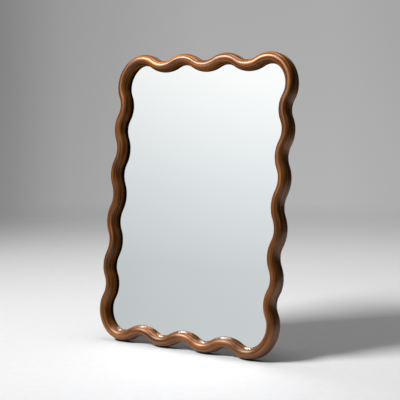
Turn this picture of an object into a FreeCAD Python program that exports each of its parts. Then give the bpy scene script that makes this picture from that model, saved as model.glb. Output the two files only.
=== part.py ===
import FreeCAD, Part
import math
import os

# Wall mirror in a wavy solid wood frame, hung on two strap hangers. Millimetres and degrees.
# X runs to the viewer's right, Z runs up, and Y runs from the room towards the wall. The origin
# lies on the wall behind the middle of the mirror, where the rear faces of the bumpers touch.

# Frame bar
overall_width = 635.0
overall_height = 914.0
bar_width = 35.0
nose_depth = 27.0
nose_radius = 14.5
back_edge_radius = 3.0
rail_corner_radius = 67.0
stile_corner_radius = 91.0
rail_wave_height = 22.0
stile_wave_height = 16.0

# Lengths of the waves against each other, the same from either end of a bar
rail_wave_shares = (1.0, 1.0, 1.0)
stile_wave_shares = (0.95, 1.02, 1.06, 1.02, 0.95)

# Pane and what lies behind it, in the rebate
glass_thickness = 4.0
foam_thickness = 3.0
board_thickness = 6.0
glass_clearance = 1.5
foam_clearance = 4.0
board_clearance = 1.0
rebate_corner_radius = 55.0
setting_pad_length = 30.0
setting_pad_place_share = 0.5

# Loose tenons across the mitres
tenon_length = 36.0
tenon_width = 18.0
tenon_thickness = 8.0
tenon_setback = 7.0
tenon_clearance = 0.1
tenon_end_clearance = 0.5

# Turn buttons
button_gauge = 1.2
button_pivot_radius = 6.0
button_tip_radius = 4.0
button_reach = 19.0
button_setback = 9.0

# Strap hangers
strap_gauge = 1.2
strap_width = 12.0
strap_length = 45.0
strap_rise = 20.0
strap_shift = 0.5
strap_screw_margin = 4.5
ring_wire_radius = 1.6
ring_half_width = 11.6
ring_corner_radius = 4.0
ring_straight = 4.0
ring_rest_clearance = 0.3
ring_screw_clearance = 0.6

# Wall bumpers
bumper_height = 7.0
bumper_base_radius = 6.5
bumper_tip_radius = 5.5
bumper_edge_radius = 1.0
bumper_shift = 3.0

# Screws
button_screw_radius = 1.5
button_screw_length = 13.0
button_head_radius = 3.1
button_head_height = 2.0
hanger_screw_radius = 1.75
hanger_screw_length = 16.0
hanger_head_radius = 3.5
hanger_head_height = 2.2
screw_tip_length = 3.0
head_rim_height = 0.7

# Fits and cuts
running_clearance = 0.08
screw_clearance = 0.05
button_face_clearance = 0.1
cut_overrun = 1.0

# Places that follow from the sizes
rebate_depth = glass_thickness + foam_thickness + board_thickness
back_y = -bumper_height
glass_y = back_y - rebate_depth
stile_x = (overall_width - bar_width) / 2
rail_z = (overall_height - bar_width) / 2
diagonal_share = math.sqrt(0.5)
corner_x = stile_x - rail_corner_radius * diagonal_share - stile_corner_radius * (1 - diagonal_share)
corner_z = rail_z - stile_corner_radius * diagonal_share - rail_corner_radius * (1 - diagonal_share)
mitre_x = corner_x + rail_corner_radius * diagonal_share
mitre_z = corner_z + stile_corner_radius * diagonal_share
rebate_x = stile_x - stile_wave_height / 2
rebate_z = rail_z - rail_wave_height / 2
strap_loop_bore = ring_wire_radius + running_clearance
strap_loop_radius = strap_loop_bore + strap_gauge
ring_drop = ring_corner_radius + ring_straight + ring_half_width

to_wall = FreeCAD.Vector(0, 1, 0)
up = FreeCAD.Vector(0, 0, 1)
right = FreeCAD.Vector(1, 0, 0)
middle = FreeCAD.Vector(0, 0, 0)


def point(x, y, z):
    return FreeCAD.Vector(x, y, z)


def arc(first, through, last):
    return Part.Arc(first, through, last).toShape()


def line(first, last):
    return Part.LineSegment(first, last).toShape()


def crest_places(half_run, shares):
    """Places of the outward crests along a side, from corner to corner."""
    places = [-half_run]
    for share in shares:
        places.append(places[-1] + 2 * half_run * share / sum(shares))
    return places


def wave_points(half_run, crest, height, shares, corner_radius):
    """Points (along, outward) of half a corner, the waves and half a corner, three to an arc."""
    amplitude = height / 2
    corner = [
        (-half_run - corner_radius * math.sin(angle), crest - corner_radius * (1 - math.cos(angle)))
        for angle in (math.pi / 4, math.pi / 8, 0)
    ]
    points = list(corner)
    places = crest_places(half_run, shares)
    for here, there in zip(places, places[1:]):
        quarter = (there - here) / 4
        radius = (amplitude ** 2 + quarter ** 2) / (2 * amplitude)
        half_turn = math.asin(quarter / radius) / 2
        run = radius * math.sin(half_turn)
        drop = radius * (1 - math.cos(half_turn))
        slope = [(run, drop), (quarter, amplitude), (2 * quarter - run, height - drop)]
        points += [(here + along, crest - fall) for along, fall in slope]
        points.append((here + 2 * quarter, crest - height))
        points += [(there - along, crest - fall) for along, fall in reversed(slope)]
        points.append((there, crest))
    points += [(-along, outward) for along, outward in reversed(corner[:-1])]
    return points


def bar_section(centre, outward):
    """Round-nosed bar section: three tangent arcs in front of the glass, straight sides behind."""
    half = bar_width / 2
    tip_centre = nose_depth - nose_radius
    side_radius = (half ** 2 + tip_centre ** 2 - nose_radius ** 2) / (2 * (half - nose_radius))
    turn = math.asin(tip_centre / (side_radius - nose_radius))
    edge = back_edge_radius
    edge_mid = edge * (1 - diagonal_share)

    def place(across, y):
        return centre + outward * across + to_wall * y

    def side(angle, sign):
        across = half - side_radius * (1 - math.cos(angle))
        return place(sign * across, glass_y - side_radius * math.sin(angle))

    def back_corner(sign):
        return [
            place(sign * half, back_y - edge),
            place(sign * (half - edge_mid), back_y - edge_mid),
            place(sign * (half - edge), back_y),
        ]

    outer_corner = back_corner(1)
    inner_corner = back_corner(-1)
    return Part.Wire([
        arc(side(0, 1), side(turn / 2, 1), side(turn, 1)),
        arc(side(turn, 1), place(0, glass_y - nose_depth), side(turn, -1)),
        arc(side(turn, -1), side(turn / 2, -1), side(0, -1)),
        line(side(0, -1), inner_corner[0]),
        arc(*inner_corner),
        line(inner_corner[2], outer_corner[2]),
        arc(*reversed(outer_corner)),
        line(outer_corner[0], side(0, 1)),
    ])


def wavy_bar(points, along, outward):
    """Bar swept from mitre to mitre along a chain of tangent arcs."""
    places = [along * run + outward * out for run, out in points]
    spine = Part.Wire([arc(*places[i:i + 3]) for i in range(0, len(places) - 2, 2)])
    section = bar_section(places[0], (outward - along).normalize())
    return spine.makePipeShell([section], True, False)


def rounded_plate(half_width, half_height, radius, front_y, thickness):
    """Flat plate with round corners, its front face at front_y."""
    inner_x = half_width - radius
    inner_z = half_height - radius
    diagonal = radius * diagonal_share
    edges = []
    for sx, sz in ((1, 1), (1, -1), (-1, -1), (-1, 1)):
        top = point(sx * inner_x, front_y, sz * half_height)
        mid = point(sx * (inner_x + diagonal), front_y, sz * (inner_z + diagonal))
        side = point(sx * half_width, front_y, sz * inner_z)
        edges.append(arc(top, mid, side))
        if sx == sz:
            edges.append(line(side, point(side.x, front_y, -side.z)))
        else:
            edges.append(line(top, point(-top.x, front_y, top.z)))
    outline = Part.Wire(Part.__sortEdges__(edges))
    return Part.Face(outline).extrude(to_wall * thickness)


def rebate_plate(clearance, front_y, thickness):
    return rounded_plate(
        rebate_x - clearance, rebate_z - clearance, rebate_corner_radius - clearance, front_y, thickness
    )


def corner_tenon(sx, sz, clearance, end_clearance):
    """Round-edged loose tenon across one mitre; clearances make it the mortise."""
    radial = (right * sx + up * sz).normalize()
    tangent = radial.cross(to_wall)
    half_thick = tenon_thickness / 2 + clearance
    flat = (tenon_width - tenon_thickness) / 2
    depth = to_wall * (glass_y - tenon_setback - tenon_thickness / 2)
    centre = right * (sx * mitre_x) + up * (sz * mitre_z) + depth
    start = centre - tangent * (tenon_length / 2 + end_clearance)

    def place(across, y):
        return start + radial * across + to_wall * y

    outline = Part.Wire([
        line(place(-flat, -half_thick), place(flat, -half_thick)),
        arc(place(flat, -half_thick), place(flat + half_thick, 0), place(flat, half_thick)),
        line(place(flat, half_thick), place(-flat, half_thick)),
        arc(place(-flat, half_thick), place(-flat - half_thick, 0), place(-flat, -half_thick)),
    ])
    return Part.Face(outline).extrude(tangent * (tenon_length + 2 * end_clearance))


def setting_pad(side):
    centre_x = side * rebate_x * setting_pad_place_share
    corner = point(centre_x - setting_pad_length / 2, glass_y, -rebate_z)
    return Part.makeBox(setting_pad_length, glass_thickness, glass_clearance, corner)


def turned(outline, pivot, axis):
    """Solid turned from a half outline of edges about an axis."""
    face = Part.Face(Part.Wire(outline))
    return face.revolve(pivot, axis, 360)


def screw(seat, radius, length, head_radius, head_height):
    """Pan-head screw driven towards the room, its head seated at the given point."""
    def place(out, y):
        return seat + right * out + to_wall * y

    rim = place(head_radius, head_rim_height)
    crown = place(0, head_height)
    dome = (head_radius ** 2 + (head_height - head_rim_height) ** 2) / (2 * (head_height - head_rim_height))
    half_turn = math.asin(head_radius / dome) / 2
    dome_mid = place(dome * math.sin(half_turn), head_height - dome * (1 - math.cos(half_turn)))
    tip = place(0, -length)
    shoulder = place(radius, screw_tip_length - length)
    outline = [
        line(tip, shoulder),
        line(shoulder, place(radius, 0)),
        line(place(radius, 0), place(head_radius, 0)),
        line(place(head_radius, 0), rim),
        arc(rim, dome_mid, crown),
        line(crown, tip),
    ]
    return turned(outline, seat, to_wall)


def screw_hole(seat, radius, length):
    """Hole from just behind a screw's seat to just past its tip."""
    start = seat + to_wall * cut_overrun
    depth = length + cut_overrun + screw_clearance
    return Part.makeCylinder(radius + screw_clearance, depth, start, -to_wall)


def turn_button(pivot, inward):
    """Pear-shaped steel plate whose tip points over the backing board."""
    sideways = inward.cross(to_wall)
    lean = math.asin((button_pivot_radius - button_tip_radius) / button_reach)
    front = pivot + to_wall * button_face_clearance
    tip = front + inward * button_reach

    def rim(centre, radius, sign):
        return centre + inward * (radius * math.sin(lean)) + sideways * (sign * radius * math.cos(lean))

    heel = front - inward * button_pivot_radius
    toe = tip + inward * button_tip_radius
    outline = Part.Wire([
        arc(rim(front, button_pivot_radius, -1), heel, rim(front, button_pivot_radius, 1)),
        line(rim(front, button_pivot_radius, 1), rim(tip, button_tip_radius, 1)),
        arc(rim(tip, button_tip_radius, 1), toe, rim(tip, button_tip_radius, -1)),
        line(rim(tip, button_tip_radius, -1), rim(front, button_pivot_radius, -1)),
    ])
    plate = Part.Face(outline).extrude(to_wall * button_gauge)
    hole = Part.makeCylinder(
        button_screw_radius + running_clearance, button_gauge + 2 * cut_overrun,
        front - to_wall * cut_overrun, to_wall,
    )
    return plate.cut(hole)


def hanger_pivot(side):
    """Middle of the strap's loop, which the ring's straight bar runs through."""
    crest_z = crest_places(corner_z, stile_wave_shares)[-2]
    return point(side * (stile_x + strap_shift), back_y + strap_loop_radius, crest_z + strap_rise)


def hanger_screw_seats(side):
    pivot = hanger_pivot(side)
    seat_y = back_y + 2 * strap_gauge
    upper_drop = ring_drop + ring_wire_radius + ring_screw_clearance + hanger_head_radius
    lower_drop = strap_length - strap_screw_margin
    return [point(pivot.x, seat_y, pivot.z - drop) for drop in (upper_drop, lower_drop)]


def hanger_strap(side):
    """Steel strip folded round the ring's bar, its two layers screwed flat to the frame."""
    pivot = hanger_pivot(side)
    half = strap_width / 2
    low = pivot.z - strap_length + half

    def place(across, z):
        return point(pivot.x + across, back_y, z)

    outline = Part.Wire([
        line(place(-half, low), place(-half, pivot.z)),
        line(place(-half, pivot.z), place(half, pivot.z)),
        line(place(half, pivot.z), place(half, low)),
        arc(place(half, low), place(0, low - half), place(-half, low)),
    ])
    strip = Part.Face(outline).extrude(to_wall * (2 * strap_gauge))
    start = pivot - right * half
    strap = strip.fuse(Part.makeCylinder(strap_loop_radius, strap_width, start, right)).removeSplitter()
    strap = strap.cut(Part.makeCylinder(strap_loop_bore, strap_width, start, right))
    for seat in hanger_screw_seats(side):
        strap = strap.cut(screw_hole(seat, hanger_screw_radius, hanger_screw_length))
    return strap


def hanger_ring(side):
    """Wire D-ring, hanging from its straight bar and resting on the strap."""
    half = ring_half_width
    bend = ring_corner_radius
    bend_mid = bend * (1 - diagonal_share)
    low = -bend - ring_straight

    def place(across, z):
        return point(across, 0, z)

    def corner(sign):
        return [
            place(sign * (half - bend), 0),
            place(sign * (half - bend_mid), -bend_mid),
            place(sign * half, -bend),
        ]

    right_corner = corner(1)
    left_corner = corner(-1)
    spine = Part.Wire([
        line(middle, right_corner[0]),
        arc(*right_corner),
        line(right_corner[2], place(half, low)),
        arc(place(half, low), place(0, low - half), place(-half, low)),
        line(place(-half, low), left_corner[2]),
        arc(*reversed(left_corner)),
        line(left_corner[0], middle),
    ])
    section = Part.Wire(Part.makeCircle(ring_wire_radius, middle, right))
    ring = Part.Solid(spine.makePipeShell([section], False, False))
    lift = 2 * strap_gauge + ring_wire_radius + ring_rest_clearance - strap_loop_radius
    ring.rotate(middle, right, math.degrees(math.asin(lift / ring_drop)))
    ring.translate(hanger_pivot(side))
    return ring


def bumper(sx, sz):
    """Tapered rubber bumper on the back of the frame, its rear face on the wall plane."""
    base = point(sx * (stile_x + bumper_shift), back_y, sz * corner_z)
    tip_centre = base + to_wall * bumper_height
    cone = Part.makeCone(bumper_base_radius, bumper_tip_radius, bumper_height, base, to_wall)
    rear_edges = [
        edge for edge in cone.Edges
        if edge.CenterOfMass.distanceToPoint(tip_centre) < bumper_edge_radius
    ]
    return cone.makeFillet(bumper_edge_radius, rear_edges)


def button_places():
    """Name, pivot and inward direction of each turn button; all stand on outward crests."""
    places = []
    for end, name in ((1, "top"), (-1, "bottom")):
        for number, along in enumerate(crest_places(corner_x, rail_wave_shares)[1:-1], 1):
            pivot = point(along, back_y, end * (rebate_z + button_setback))
            places.append((f"turn_button_{name}_{number}", pivot, up * -end))
    for side, name in ((-1, "left"), (1, "right")):
        for number, along in enumerate(crest_places(corner_z, stile_wave_shares)[1:-2], 1):
            pivot = point(side * (rebate_x + button_setback), back_y, along)
            places.append((f"turn_button_{name}_{number}", pivot, right * -side))
    return places


def frame_members():
    """The four bars with the rebate, mortises and screw holes cut into them."""
    rail = wave_points(corner_x, rail_z, rail_wave_height, rail_wave_shares, rail_corner_radius)
    stile = wave_points(corner_z, stile_x, stile_wave_height, stile_wave_shares, stile_corner_radius)
    bars = {
        "top_rail": wavy_bar(rail, right, up),
        "bottom_rail": wavy_bar(rail, -right, -up),
        "left_stile": wavy_bar(stile, up, -right),
        "right_stile": wavy_bar(stile, -up, right),
    }
    cuts = [rebate_plate(0, glass_y, rebate_depth + cut_overrun)]
    cuts += [
        corner_tenon(sx, sz, tenon_clearance, tenon_end_clearance) for sx in (-1, 1) for sz in (-1, 1)
    ]
    cuts += [
        screw_hole(button_seat(pivot), button_screw_radius, button_screw_length)
        for name, pivot, inward in button_places()
    ]
    cuts += [
        screw_hole(seat, hanger_screw_radius, hanger_screw_length)
        for side in (-1, 1) for seat in hanger_screw_seats(side)
    ]
    return {name: bar.cut(cuts) for name, bar in bars.items()}


def button_seat(pivot):
    return pivot + to_wall * (button_gauge + 2 * button_face_clearance)


def all_parts():
    parts = frame_members()
    for sx, side_name in ((-1, "left"), (1, "right")):
        for sz, end_name in ((1, "top"), (-1, "bottom")):
            parts[f"corner_tenon_{end_name}_{side_name}"] = corner_tenon(sx, sz, 0, 0)
            parts[f"bumper_{end_name}_{side_name}"] = bumper(sx, sz)
        parts[f"hanger_strap_{side_name}"] = hanger_strap(sx)
        parts[f"hanger_ring_{side_name}"] = hanger_ring(sx)
    parts["mirror_glass"] = rebate_plate(glass_clearance, glass_y, glass_thickness)
    parts["foam_sheet"] = rebate_plate(foam_clearance, glass_y + glass_thickness, foam_thickness)
    parts["backing_board"] = rebate_plate(board_clearance, back_y - board_thickness, board_thickness)
    parts["setting_pads"] = Part.makeCompound([setting_pad(-1), setting_pad(1)])
    button_screws = []
    for name, pivot, inward in button_places():
        parts[name] = turn_button(pivot, inward)
        button_screws.append(screw(
            button_seat(pivot), button_screw_radius, button_screw_length,
            button_head_radius, button_head_height,
        ))
    parts["turn_button_screws"] = Part.makeCompound(button_screws)
    parts["hanger_screws"] = Part.makeCompound([
        screw(seat, hanger_screw_radius, hanger_screw_length, hanger_head_radius, hanger_head_height)
        for side in (-1, 1) for seat in hanger_screw_seats(side)
    ])
    return parts


os.makedirs("parts", exist_ok=True)
for node, shape in all_parts().items():
    shape.exportStep(f"parts/{node}.step")
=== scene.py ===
import math

import bmesh
import bpy
import numpy as np
from mathutils import Matrix, Vector
from mathutils.kdtree import KDTree


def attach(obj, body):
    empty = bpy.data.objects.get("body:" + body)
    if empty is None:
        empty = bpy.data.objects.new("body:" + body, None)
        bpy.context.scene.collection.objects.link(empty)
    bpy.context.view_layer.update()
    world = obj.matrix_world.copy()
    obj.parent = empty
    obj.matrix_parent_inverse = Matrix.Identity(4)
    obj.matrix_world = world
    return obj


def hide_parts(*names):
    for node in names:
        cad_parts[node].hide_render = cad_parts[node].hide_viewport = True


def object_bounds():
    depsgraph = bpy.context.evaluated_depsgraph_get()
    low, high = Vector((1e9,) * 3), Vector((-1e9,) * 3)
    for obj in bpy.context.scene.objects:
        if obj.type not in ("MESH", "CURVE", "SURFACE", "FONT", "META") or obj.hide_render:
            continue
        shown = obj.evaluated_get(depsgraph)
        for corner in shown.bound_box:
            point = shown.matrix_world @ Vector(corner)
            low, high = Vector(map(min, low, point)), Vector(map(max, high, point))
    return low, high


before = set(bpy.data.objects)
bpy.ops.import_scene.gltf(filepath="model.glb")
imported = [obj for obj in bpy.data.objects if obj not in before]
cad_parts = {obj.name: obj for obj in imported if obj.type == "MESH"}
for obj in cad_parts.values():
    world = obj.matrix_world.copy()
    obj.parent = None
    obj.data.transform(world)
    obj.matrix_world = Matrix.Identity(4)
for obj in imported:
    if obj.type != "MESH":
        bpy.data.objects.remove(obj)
cad_low, cad_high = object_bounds()
body_name = "frame"

# Frame bars, in metres: the centre line that the wood grain follows
overall_width = cad_high.x - cad_low.x
overall_height = cad_high.z - cad_low.z
bar_width = 0.035
rail_corner_radius = 0.067
stile_corner_radius = 0.091
rail_wave_height = 0.022
stile_wave_height = 0.016
rail_wave_shares = (1.0, 1.0, 1.0)
stile_wave_shares = (0.95, 1.02, 1.06, 1.02, 0.95)
path_step = 0.001

# Walnut: patterns per metre along the bar, across it and into it
streak_scale = (5.0, 150.0, 150.0)
figure_scale = (2.2, 34.0, 26.0)
patch_scale = (9.0, 20.0, 20.0)
pore_scale = (130.0, 2600.0, 2600.0)
walnut_tones = [
    (0.33, (0.050, 0.012, 0.001)),
    (0.46, (0.160, 0.049, 0.006)),
    (0.56, (0.315, 0.106, 0.016)),
    (0.72, (0.540, 0.206, 0.041)),
]
ring_density = 46.0
ring_tones = [(0.0, (0.42, 0.36, 0.32)), (0.8, 1.0)]
ring_weight = 0.18
patch_shade = 0.6
patch_weight = 0.6
pore_tones = [(0.60, 1.0), (0.70, 0.45)]
pore_weight = 0.7
streak_relief = 0.5

# Lacquer: its weight falls where a bar's side turns inwards and back to the glass (places in metres)
inner_range = (-0.006, -0.014)
depth_range = (-0.040, -0.030)
lacquer_range = (0.95, 0.10)

# Range in which a noise pattern mostly lies
noise_low = 0.3
noise_high = 0.7

# Places of the colour sockets on a mix node, where each type of value has sockets of the same names
mix_inputs = (0, 6, 7)
mix_output = 2

# Camera, from the photograph's outline: angles in degrees, lengths in metres
view_centre = Vector((0.0, -0.020, 0.0))
camera_azimuth = 31.14
camera_elevation = -2.03
camera_roll = 4.62
camera_distance = 3.104
camera_lens = 90.8
camera_pan = 0.0150
camera_rise = 0.0021

# The mirror stands leaning back, so the floor's up direction leans forward in the part's frame
lean_angle = 9.0
floor_radius = 4.6
floor_clear_radius = 1.8
floor_segments = 96

# Lights: azimuth counts from the front to the left, in degrees, lengths are in metres and power in watts
lights = {
    "key_light": {
        "azimuth": 34.0, "elevation": 34.0, "distance": 4.5, "width": 1.6, "height": 1.2,
        "power": 104.0, "spread_angle": 100.0, "aim": (2.2, 3.4, 0.0),
    },
    "top_light": {
        "azimuth": 10.0, "elevation": 88.0, "distance": 6.0, "width": 2.0, "height": 2.0,
        "power": 93.0, "spread_angle": 180.0, "aim": (0.0, 1.5, 0.0),
    },
    "back_light": {
        "azimuth": 165.0, "elevation": 30.0, "distance": 4.5, "width": 1.8, "height": 1.8,
        "power": 3.0, "spread_angle": 120.0, "aim": (0.0, 0.3, 0.0),
    },
}
# One bounce keeps light that comes off the mirror away from the bars' inner sides
light_bounces = 1

# World: ranges of a direction's X (right), Y (back) and Z (up), and the tones over them
panel_height_range = (-0.08, 0.16)
panel_tones = [
    (0.0, (0.612, 0.640, 0.648)),
    (0.2, (0.632, 0.660, 0.668)),
    (0.52, (0.777, 0.810, 0.830)),
    (0.854, (0.965, 0.972, 0.975)),
    (1.0, (1.030, 1.030, 1.030)),
]
panel_right_range = (0.25, -0.25)
panel_right_shade = (0.08, 1.0)
panel_left_range = (-0.45, -0.85)
panel_left_shade = (1.0, 0.6)
front_range = (0.15, -0.35)
backdrop_range = (-0.72, -0.32)
backdrop_tones = [
    (0.0, 0.19), (0.13, 0.254), (0.19, 0.313), (0.24, 0.355), (0.5, 0.446), (0.8, 0.453), (1.0, 0.413),
]
backdrop_height_range = (0.02, 0.26)
backdrop_height_shade = (1.0, 0.90)

# World's strength as a light, and the ray depth up to which the mirror shows it in full
gloss_world_strength = 0.06
diffuse_world_strength = 0.05
mirror_ray_depth = 2.5

# Screws and eased edges, in metres
screw_segments = 64
thread_pitch = 0.0012
thread_steps = 5
thread_core_share = 0.74
thread_neck = 0.0016
screw_cone_share = 1.8
head_rim_share = 0.36
head_rings = 24
cross_half_width = 0.00045
cross_half_length_share = 0.55
cross_depth = 0.0010
cross_wall = 0.00018
metal_easing = 0.00022
board_easing = 0.0008
easing_steps = 2
round_profile = 0.5
sharp_angle = math.radians(35)
flat_angle = math.radians(1)
weld_distance = 1e-6


def direction(azimuth, elevation):
    """Unit vector; azimuth counts from the front (-Y) to the viewer's left, in degrees."""
    turn = math.radians(azimuth)
    rise = math.radians(elevation)
    return Vector((-math.sin(turn) * math.cos(rise), -math.cos(turn) * math.cos(rise), math.sin(rise)))


def link_object(made):
    bpy.context.scene.collection.objects.link(made)
    return made


# Shader nodes

def connect(tree, socket, value):
    """Joins an input to another socket, or sets it to a number, a colour or a vector."""
    if isinstance(value, bpy.types.NodeSocket):
        tree.links.new(value, socket)
    else:
        socket.default_value = value


def fill(tree, node, inputs):
    for name, value in inputs.items():
        connect(tree, node.inputs[name], value)


def add(tree, kind, inputs, **settings):
    """Adds a shader node with its settings and inputs."""
    made = tree.nodes.new("ShaderNode" + kind)
    for name, value in settings.items():
        setattr(made, name, value)
    fill(tree, made, inputs)
    return made


def opaque(colour):
    """Colour with alpha, from a grey or a colour."""
    return (*colour, 1.0) if isinstance(colour, tuple) else (colour, colour, colour, 1.0)


def ramp(tree, factor, stops):
    """Colour ramp through (position, grey or colour) stops."""
    made = add(tree, "ValToRGB", {"Fac": factor})
    elements = made.color_ramp.elements
    while len(elements) < len(stops):
        elements.new(1.0)
    for element, (position, colour) in zip(elements, stops):
        element.position = position
        element.color = opaque(colour)
    return made.outputs["Color"]


def toned(tree, pattern, dark, light):
    """Colour that goes from dark to light over a noise pattern's range."""
    return ramp(tree, pattern, [(noise_low, dark), (noise_high, light)])


def mixed(tree, factor, first, second, blend="MIX"):
    """Two colours mixed by a factor."""
    made = add(tree, "Mix", {}, data_type="RGBA", blend_type=blend)
    fill(tree, made, dict(zip(mix_inputs, (factor, first, second))))
    return made.outputs[mix_output]


def spread(tree, value, low, high, to_low, to_high, smooth=False):
    """Number that goes from to_low to to_high as the value goes from low to high."""
    made = add(tree, "MapRange", {
        "Value": value, "From Min": low, "From Max": high, "To Min": to_low, "To Max": to_high,
    }, interpolation_type="SMOOTHSTEP" if smooth else "LINEAR")
    return made.outputs["Result"]


def varied(tree, pattern, low, high):
    """Number that goes from low to high over a noise pattern's range."""
    return spread(tree, pattern, noise_low, noise_high, low, high)


def stretched(tree, vector, scale):
    made = add(tree, "VectorMath", {0: vector, 1: scale}, operation="MULTIPLY")
    return made.outputs["Vector"]


def scaled(tree, colour, factor):
    made = add(tree, "VectorMath", {0: colour, "Scale": factor}, operation="SCALE")
    return made.outputs["Vector"]


def noise(tree, vector, scale=1.0, detail=3.0, roughness=0.5, distortion=0.0):
    made = add(tree, "TexNoise", {
        "Vector": vector, "Scale": scale, "Detail": detail, "Roughness": roughness,
        "Distortion": distortion,
    })
    return made.outputs["Fac"]


def calculated(tree, operation, first, second=0.0):
    return add(tree, "Math", {0: first, 1: second}, operation=operation).outputs["Value"]


def bumped(tree, height, strength, distance):
    made = add(tree, "Bump", {"Height": height, "Strength": strength, "Distance": distance})
    return made.outputs["Normal"]


def attribute(tree, name):
    return add(tree, "Attribute", {}, attribute_name=name).outputs["Vector"]


def object_place(tree):
    return add(tree, "TexCoord", {}).outputs["Object"]


def new_material(name):
    """An empty material with its tree and its surface shader."""
    made = bpy.data.materials.new(name)
    made.use_nodes = True
    tree = made.node_tree
    tree.nodes.clear()
    surface = add(tree, "BsdfPrincipled", {})
    add(tree, "OutputMaterial", {"Surface": surface.outputs["BSDF"]})
    return made, tree, surface


# Materials

def walnut():
    """Oiled walnut under satin lacquer; the grain attribute runs along the bar, across it and into it."""
    made, tree, surface = new_material("walnut_lacquered")
    grain = attribute(tree, "grain")
    streak_place = stretched(tree, grain, streak_scale)
    streaks = noise(tree, streak_place, detail=6.0, roughness=0.62, distortion=0.5)
    figure = noise(tree, stretched(tree, grain, figure_scale), detail=2.0, distortion=0.3)
    contour = calculated(tree, "SINE", calculated(tree, "MULTIPLY", figure, ring_density))
    rings = ramp(tree, spread(tree, contour, -1.0, 1.0, 0.0, 1.0), ring_tones)
    patches = noise(tree, stretched(tree, grain, patch_scale), detail=2.0)
    pores = ramp(tree, noise(tree, stretched(tree, grain, pore_scale), detail=2.0), pore_tones)
    ringed = mixed(tree, ring_weight, ramp(tree, streaks, walnut_tones), rings, "MULTIPLY")
    shaded = mixed(tree, patch_weight, ringed, toned(tree, patches, patch_shade, 1.0), "MULTIPLY")
    relief = mixed(tree, streak_relief, pores, streaks, "MULTIPLY")
    across = add(tree, "SeparateXYZ", {0: grain})
    inner = spread(tree, across.outputs["Y"], *inner_range, 0.0, 1.0, smooth=True)
    behind = spread(tree, across.outputs["Z"], *depth_range, 0.0, 1.0, smooth=True)
    sheltered = calculated(tree, "MULTIPLY", inner, behind)
    fill(tree, surface, {
        "Base Color": mixed(tree, pore_weight, shaded, pores, "MULTIPLY"),
        "Metallic": 0.5,
        "Roughness": varied(tree, streaks, 0.63, 0.55),
        "Normal": bumped(tree, relief, strength=0.12, distance=0.0004),
        "Tangent": attribute(tree, "bar_way"),
        "Anisotropic": 0.78,
        "Anisotropic Rotation": 0.25,
        "Specular IOR Level": 0.0,
        "Coat Weight": spread(tree, sheltered, 0.0, 1.0, *lacquer_range),
        "Coat Roughness": 0.34,
    })
    return made


def silvered_glass():
    """Mirror with a faint cloud in its tone."""
    made, tree, surface = new_material("mirror_silver")
    cloud = noise(tree, object_place(tree), scale=3.0, detail=2.0)
    fill(tree, surface, {
        "Base Color": toned(tree, cloud, (0.930, 0.948, 0.948), (0.940, 0.955, 0.955)),
        "Metallic": 1.0,
        "Roughness": varied(tree, cloud, 0.0, 0.003),
    })
    return made


def plated_metal(name, dark, light, smoothest, roughest):
    """Plated steel with fine brushed wear and blotches in its sheen."""
    made, tree, surface = new_material(name)
    place = object_place(tree)
    scratch_scale = (900.0, 900.0, 60.0)
    blotches = noise(tree, place, scale=260.0, detail=4.0, roughness=0.6)
    scratches = noise(tree, stretched(tree, place, scratch_scale), detail=3.0)
    fill(tree, surface, {
        "Base Color": toned(tree, blotches, dark, light),
        "Metallic": 1.0,
        "Roughness": varied(tree, scratches, smoothest, roughest),
        "Normal": bumped(tree, scratches, strength=0.08, distance=0.0001),
    })
    return made


def speckled(name, dark, light, scale, smoothest, roughest, bump_strength, bump_distance):
    """Matte material made of grains, fibres or cells, under wide soft clouds."""
    made, tree, surface = new_material(name)
    place = object_place(tree)
    cloud_scale_share = 0.02
    cloud_shade = 0.82
    cloud_weight = 0.5
    grains = noise(tree, place, scale=scale, detail=6.0, roughness=0.7)
    clouds = noise(tree, place, scale=scale * cloud_scale_share, detail=2.0)
    tone = toned(tree, grains, dark, light)
    shade = toned(tree, clouds, cloud_shade, 1.0)
    fill(tree, surface, {
        "Base Color": mixed(tree, cloud_weight, tone, shade, "MULTIPLY"),
        "Roughness": varied(tree, grains, smoothest, roughest),
        "Normal": bumped(tree, grains, bump_strength, bump_distance),
    })
    return made


def beech():
    """Raw beech with fine streaks."""
    made, tree, surface = new_material("beech_raw")
    grain_scale = (60.0, 400.0, 60.0)
    streaks = noise(tree, stretched(tree, object_place(tree), grain_scale), detail=5.0, roughness=0.6)
    fill(tree, surface, {
        "Base Color": toned(tree, streaks, (0.50, 0.31, 0.17), (0.68, 0.47, 0.29)),
        "Roughness": varied(tree, streaks, 0.55, 0.68),
        "Normal": bumped(tree, streaks, strength=0.15, distance=0.0002),
    })
    return made


def floor_paint():
    """Pale matte studio floor that clears far from the part."""
    made, tree, surface = new_material("studio_floor")
    place = object_place(tree)
    distance = add(tree, "VectorMath", {0: place}, operation="LENGTH").outputs["Value"]
    grit = noise(tree, place, scale=40.0, detail=4.0)
    fill(tree, surface, {
        "Base Color": toned(tree, grit, (0.862, 0.862, 0.872), (0.888, 0.888, 0.898)),
        "Roughness": 0.85,
        "Specular IOR Level": 0.1,
        "Alpha": spread(tree, distance, floor_clear_radius, floor_radius, 1.0, 0.0, smooth=True),
    })
    return made


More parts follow.
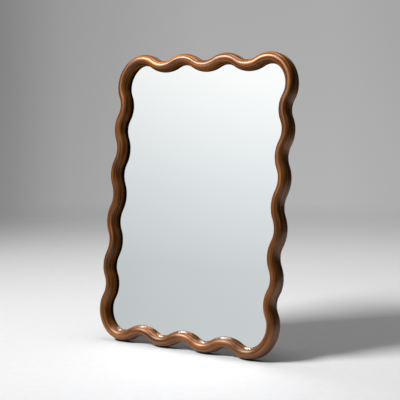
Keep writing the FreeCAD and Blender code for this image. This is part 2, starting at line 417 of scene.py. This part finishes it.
def make_finishes():
    """Finished material for each material slot."""
    return {
        "walnut": walnut(),
        "silvered_glass": silvered_glass(),
        "beech": beech(),
        "zinc_steel": plated_metal(
            "zinc_plate", dark=(0.50, 0.52, 0.55), light=(0.72, 0.74, 0.77), smoothest=0.26, roughest=0.44,
        ),
        "brass_screw": plated_metal(
            "yellow_zinc", dark=(0.52, 0.40, 0.20), light=(0.72, 0.58, 0.32), smoothest=0.22, roughest=0.40,
        ),
        "backing_board": speckled(
            "fibreboard", dark=(0.17, 0.105, 0.06), light=(0.33, 0.22, 0.13), scale=900.0,
            smoothest=0.72, roughest=0.84, bump_strength=0.25, bump_distance=0.0003,
        ),
        "foam": speckled(
            "foam_white", dark=(0.70, 0.70, 0.69), light=(0.82, 0.82, 0.81), scale=600.0,
            smoothest=0.74, roughest=0.86, bump_strength=0.3, bump_distance=0.0004,
        ),
        "cork": speckled(
            "cork_grain", dark=(0.24, 0.14, 0.07), light=(0.55, 0.37, 0.21), scale=500.0,
            smoothest=0.79, roughest=0.91, bump_strength=0.4, bump_distance=0.0005,
        ),
        "rubber": speckled(
            "rubber_black", dark=(0.018, 0.018, 0.019), light=(0.034, 0.034, 0.035), scale=800.0,
            smoothest=0.56, roughest=0.68, bump_strength=0.1, bump_distance=0.0001,
        ),
    }


def dress_nodes():
    """Gives every CAD node its finished material."""
    for name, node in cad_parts.items():
        node.material_slots[0].material = finishes[slots[name]]


def finished_piece(name, mesh, node, body):
    """New piece that stands in for a CAD node, with the node's material and slot."""
    slot = slots[node]
    mesh.materials.clear()
    mesh.materials.append(finishes[slot])
    piece = link_object(bpy.data.objects.new(name, mesh))
    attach(piece, body)
    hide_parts(node)


# Frame bars

def side_turns(run, shares, height, corner_radius):
    """Bends (radius, angle) of one side from mitre to mitre; outward bends are positive."""
    half_corner = (corner_radius, math.pi / 4)
    amplitude = height / 2
    turns = [half_corner]
    for share in shares:
        quarter = run * share / sum(shares) / 4
        radius = (amplitude ** 2 + quarter ** 2) / (2 * amplitude)
        bend = math.asin(quarter / radius)
        turns += [(radius, bend), (radius, -2 * bend), (radius, bend)]
    return turns + [half_corner]


def bar_paths():
    """Centre line of each bar from mitre to mitre as samples (x, z, heading, length so far)."""
    rail_reach = rail_corner_radius * math.sqrt(0.5)
    stile_reach = stile_corner_radius * math.sqrt(0.5)
    corner_x = (overall_width - bar_width) / 2 - rail_reach - (stile_corner_radius - stile_reach)
    corner_z = (overall_height - bar_width) / 2 - stile_reach - (rail_corner_radius - rail_reach)
    rail = side_turns(2 * corner_x, rail_wave_shares, rail_wave_height, rail_corner_radius)
    stile = side_turns(2 * corner_z, stile_wave_shares, stile_wave_height, stile_corner_radius)
    bars = {"top_rail": rail, "right_stile": stile, "bottom_rail": rail, "left_stile": stile}
    x = -corner_x - rail_reach
    z = corner_z + stile_reach
    heading = math.pi / 4
    along = 0.0
    paths = {}
    for name, turns in bars.items():
        paths[name] = [(x, z, heading, along)]
        for radius, angle in turns:
            steps = math.ceil(radius * abs(angle) / path_step)
            turn = angle / steps
            chord = 2 * radius * math.sin(abs(turn) / 2)
            for _ in range(steps):
                x += chord * math.cos(heading - turn / 2)
                z += chord * math.sin(heading - turn / 2)
                heading -= turn
                along += radius * abs(turn)
                paths[name].append((x, z, heading, along))
    return paths


def grain_places(mesh, path):
    """Each vertex's place along the bar, outward across it and towards the wall, and the bar's way."""
    tree = KDTree(len(path))
    for index, (x, z, *_) in enumerate(path):
        tree.insert((x, 0, z), index)
    tree.balance()
    places = []
    ways = []
    for vertex in mesh.vertices:
        index = tree.find((vertex.co.x, 0, vertex.co.z))[1]
        x, z, heading, along = path[index]
        offset_x = vertex.co.x - x
        offset_z = vertex.co.z - z
        forward = offset_x * math.cos(heading) + offset_z * math.sin(heading)
        outward = offset_z * math.cos(heading) - offset_x * math.sin(heading)
        places.append((along + forward, outward, vertex.co.y))
        ways.append((math.cos(heading), 0, math.sin(heading)))
    return places, ways


def grained_bar(node, path, body):
    """Copy of a bar whose vertices carry their place in the grain."""
    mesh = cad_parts[node].data.copy()
    for name, values in zip(("grain", "bar_way"), grain_places(mesh, path)):
        carried = mesh.attributes.new(name, "FLOAT_VECTOR", "POINT")
        carried.data.foreach_set("vector", np.array(values, np.float32).ravel())
    finished_piece(node + "_wood", mesh, node, body)


# Fittings

def welded(node):
    """Edit mesh of a CAD node with the points along its sharp edges joined."""
    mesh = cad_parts[node].data
    shape = bmesh.new()
    points = [shape.verts.new(vertex.co) for vertex in mesh.vertices]
    for polygon in mesh.polygons:
        shape.faces.new([points[index] for index in polygon.vertices])
    bmesh.ops.remove_doubles(shape, verts=shape.verts[:], dist=weld_distance)
    return shape


def eased_piece(node, body, width):
    """Copy of a CAD node with its sharp edges rounded over."""
    shape = welded(node)
    bmesh.ops.dissolve_limit(
        shape, angle_limit=flat_angle, verts=shape.verts[:], edges=shape.edges[:],
    )
    sharp = [edge for edge in shape.edges if edge.calc_face_angle() > sharp_angle]
    bmesh.ops.bevel(
        shape, geom=sharp, offset=width, segments=easing_steps, profile=round_profile,
        affect="EDGES", clamp_overlap=True,
    )
    bmesh.ops.triangulate(shape, faces=shape.faces[:])
    mesh = bpy.data.meshes.new(node + "_eased")
    shape.to_mesh(mesh)
    shape.free()
    mesh.shade_smooth()
    mesh.set_sharp_from_angle(angle=sharp_angle)
    finished_piece(node + "_eased", mesh, node, body)


def screw_sizes(node):
    """Centres (x, z) of a node's screws, and their common tip, seat, top, shank radius and head radius."""
    shape = welded(node)
    reached = set()
    screws = []
    for first in shape.verts:
        if first in reached:
            continue
        reached.add(first)
        group = [first]
        for vertex in group:
            joined = {edge.other_vert(vertex) for edge in vertex.link_edges} - reached
            reached |= joined
            group += joined
        screws.append(np.array([vertex.co for vertex in group]))
    shape.free()
    centres = [(points.min(axis=0) + points.max(axis=0))[[0, 2]] / 2 for points in screws]
    points = screws[0]
    away = np.hypot(points[:, 0] - centres[0][0], points[:, 2] - centres[0][1])
    tip = points[:, 1].min()
    top = points[:, 1].max()
    head_radius = away.max()
    seat = points[away > head_radius - weld_distance, 1].min()
    shank_radius = away[points[:, 1] < seat - weld_distance].max()
    return centres, tip, seat, top, shank_radius, head_radius


def screw_rings(tip, seat, top, shank_radius, head_radius):
    """Rings of points from the tip of a wood screw to the cross recess in its pan head."""
    turn = np.arange(screw_segments) * 2 * math.pi / screw_segments
    cone = screw_cone_share * shank_radius
    rings = []
    for depth in np.arange(tip + weld_distance, seat, thread_pitch / thread_steps):
        taper = min(1, (depth - tip) / cone)
        place = (depth / thread_pitch + turn / (2 * math.pi)) % 1
        ridge = 1 - abs(2 * place - 1)
        core = thread_core_share + (1 - thread_core_share) * ridge
        radius = shank_radius * taper * (core if depth < seat - thread_neck else thread_core_share)
        rings.append((radius * np.cos(turn), np.full(screw_segments, depth), radius * np.sin(turn)))
    rings.append((head_radius * np.cos(turn), np.full(screw_segments, seat), head_radius * np.sin(turn)))
    rim = seat + head_rim_share * (top - seat)
    dome = top - rim
    dome_radius = (head_radius ** 2 + dome ** 2) / (2 * dome)
    arm_length = cross_half_length_share * head_radius
    for step in range(head_rings):
        radius = head_radius * (1 - step / head_rings)
        sideways = radius * np.cos(turn)
        upward = radius * np.sin(turn)
        level_arm = np.minimum(cross_half_width - abs(upward), arm_length - abs(sideways))
        upright_arm = np.minimum(cross_half_width - abs(sideways), arm_length - abs(upward))
        sunk = np.clip(np.maximum(level_arm, upright_arm) / cross_wall, 0, 1)
        height = top - dome_radius + math.sqrt(dome_radius ** 2 - radius ** 2) - cross_depth * sunk
        rings.append((sideways, height, upward))
    return [np.stack(ring, axis=1) for ring in rings]


def screw_set(node, body):
    """Wood screws with threads and cross recesses in place of a node's plain ones."""
    centres, *sizes = screw_sizes(node)
    rings = screw_rings(*sizes)
    points = np.concatenate([rings[0].mean(axis=0)[None], *rings, rings[-1].mean(axis=0)[None]])
    last = len(points) - 1
    faces = []
    for index in range(screw_segments):
        beside = (index + 1) % screw_segments
        faces.append((0, 1 + index, 1 + beside))
        for ring in range(len(rings) - 1):
            low = 1 + ring * screw_segments
            high = low + screw_segments
            faces.append((low + index, high + index, high + beside, low + beside))
        rim = last - screw_segments
        faces.append((rim + index, last, rim + beside))
    all_points = []
    all_faces = []
    for x, z in centres:
        offset = len(all_points)
        all_points += [(point[0] + x, point[1], point[2] + z) for point in points]
        all_faces += [tuple(corner + offset for corner in face) for face in faces]
    mesh = bpy.data.meshes.new(node + "_threaded")
    mesh.from_pydata(all_points, [], all_faces)
    mesh.shade_smooth()
    mesh.set_sharp_from_angle(angle=sharp_angle)
    finished_piece(node + "_threaded", mesh, node, body)


# Stage

def make_floor():
    """Round floor under the lowest point of the leaning bottom rail."""
    lean = math.radians(lean_angle)
    up = Vector((0, -math.sin(lean), math.cos(lean)))
    height = min(vertex.co.dot(up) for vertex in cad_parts["bottom_rail"].data.vertices)
    mesh = bpy.data.meshes.new("studio_floor")
    shape = bmesh.new()
    bmesh.ops.create_circle(shape, cap_ends=True, segments=floor_segments, radius=floor_radius)
    shape.to_mesh(mesh)
    shape.free()
    mesh.materials.append(floor_paint())
    floor = link_object(bpy.data.objects.new("studio_floor", mesh))
    floor.rotation_mode = "QUATERNION"
    floor.rotation_quaternion = up.to_track_quat("Z", "Y")
    floor.location = up * height


def panel_colour(tree, way):
    """Pale panel, brighter towards its top and darker towards its sides."""
    height = spread(tree, way.outputs["Z"], *panel_height_range, 0.0, 1.0)
    right = spread(tree, way.outputs["X"], *panel_right_range, *panel_right_shade, smooth=True)
    left = spread(tree, way.outputs["X"], *panel_left_range, *panel_left_shade, smooth=True)
    return scaled(tree, ramp(tree, height, panel_tones), calculated(tree, "MULTIPLY", right, left))


def backdrop_colour(tree, way):
    """Grey backdrop, darker towards its left and its top."""
    sideways = spread(tree, way.outputs["X"], *backdrop_range, 0.0, 1.0)
    shade = spread(tree, way.outputs["Z"], *backdrop_height_range, *backdrop_height_shade, smooth=True)
    return scaled(tree, ramp(tree, sideways, backdrop_tones), shade)


def world_strength(tree):
    """Full where the camera sees the world directly or in the mirror, and weak as a light."""
    path = add(tree, "LightPath", {}).outputs
    sharp = calculated(tree, "MAXIMUM", path["Is Camera Ray"], path["Is Singular Ray"])
    direct = calculated(tree, "LESS_THAN", path["Ray Depth"], mirror_ray_depth)
    in_view = calculated(tree, "MULTIPLY", sharp, direct)
    soft = spread(tree, path["Is Diffuse Ray"], 0.0, 1.0, gloss_world_strength, diffuse_world_strength)
    return calculated(tree, "MAXIMUM", in_view, soft)


def make_world():
    """Grey backdrop behind, and a pale panel in front on the left for the mirror to show."""
    world = bpy.data.worlds.new("studio")
    bpy.context.scene.world = world
    world.use_nodes = True
    tree = world.node_tree
    tree.nodes.clear()
    way = add(tree, "SeparateXYZ", {0: add(tree, "TexCoord", {}).outputs["Generated"]})
    front = spread(tree, way.outputs["Y"], *front_range, 0.0, 1.0, smooth=True)
    colour = mixed(tree, front, backdrop_colour(tree, way), panel_colour(tree, way))
    background = add(tree, "Background", {"Color": colour, "Strength": world_strength(tree)})
    add(tree, "OutputWorld", {"Surface": background.outputs["Background"]})


def make_light(name, azimuth, elevation, distance, width, height, power, spread_angle, aim):
    lamp = bpy.data.lights.new(name, "AREA")
    lamp.shape = "RECTANGLE"
    lamp.size = width
    lamp.size_y = height
    lamp.energy = power
    lamp.spread = math.radians(spread_angle)
    lamp.cycles.max_bounces = light_bounces
    light = link_object(bpy.data.objects.new(name, lamp))
    light.location = view_centre + direction(azimuth, elevation) * distance
    light.rotation_mode = "QUATERNION"
    light.rotation_quaternion = (light.location - Vector(aim)).to_track_quat("Z", "Y")


def make_camera():
    lens = bpy.data.cameras.new("camera")
    lens.lens = camera_lens
    camera = link_object(bpy.data.objects.new("camera", lens))
    back = direction(-camera_azimuth, camera_elevation)
    upright = back.to_track_quat("Z", "Y").to_matrix()
    turned = upright @ Matrix.Rotation(math.radians(camera_roll), 3, "Z")
    camera.rotation_mode = "QUATERNION"
    camera.rotation_quaternion = turned.to_quaternion()
    aim = view_centre + turned.col[0] * camera_pan + turned.col[1] * camera_rise
    camera.location = aim + back * camera_distance
    bpy.context.scene.camera = camera


bpy.context.scene.view_settings.view_transform = "Standard"
slots = {name: node.data.materials[0].name for name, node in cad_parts.items()}
finishes = make_finishes()
dress_nodes()
for node_name, centre_line in bar_paths().items():
    grained_bar(node_name, centre_line, body_name)
for node_name in slots:
    if node_name.startswith("turn_button") and node_name != "turn_button_screws":
        eased_piece(node_name, node_name, metal_easing)
for node_name in ("hanger_strap_left", "hanger_strap_right"):
    eased_piece(node_name, body_name, metal_easing)
eased_piece("backing_board", body_name, board_easing)
for node_name in ("turn_button_screws", "hanger_screws"):
    screw_set(node_name, body_name)
make_floor()
make_world()
for light_name, settings in lights.items():
    make_light(light_name, **settings)
make_camera()
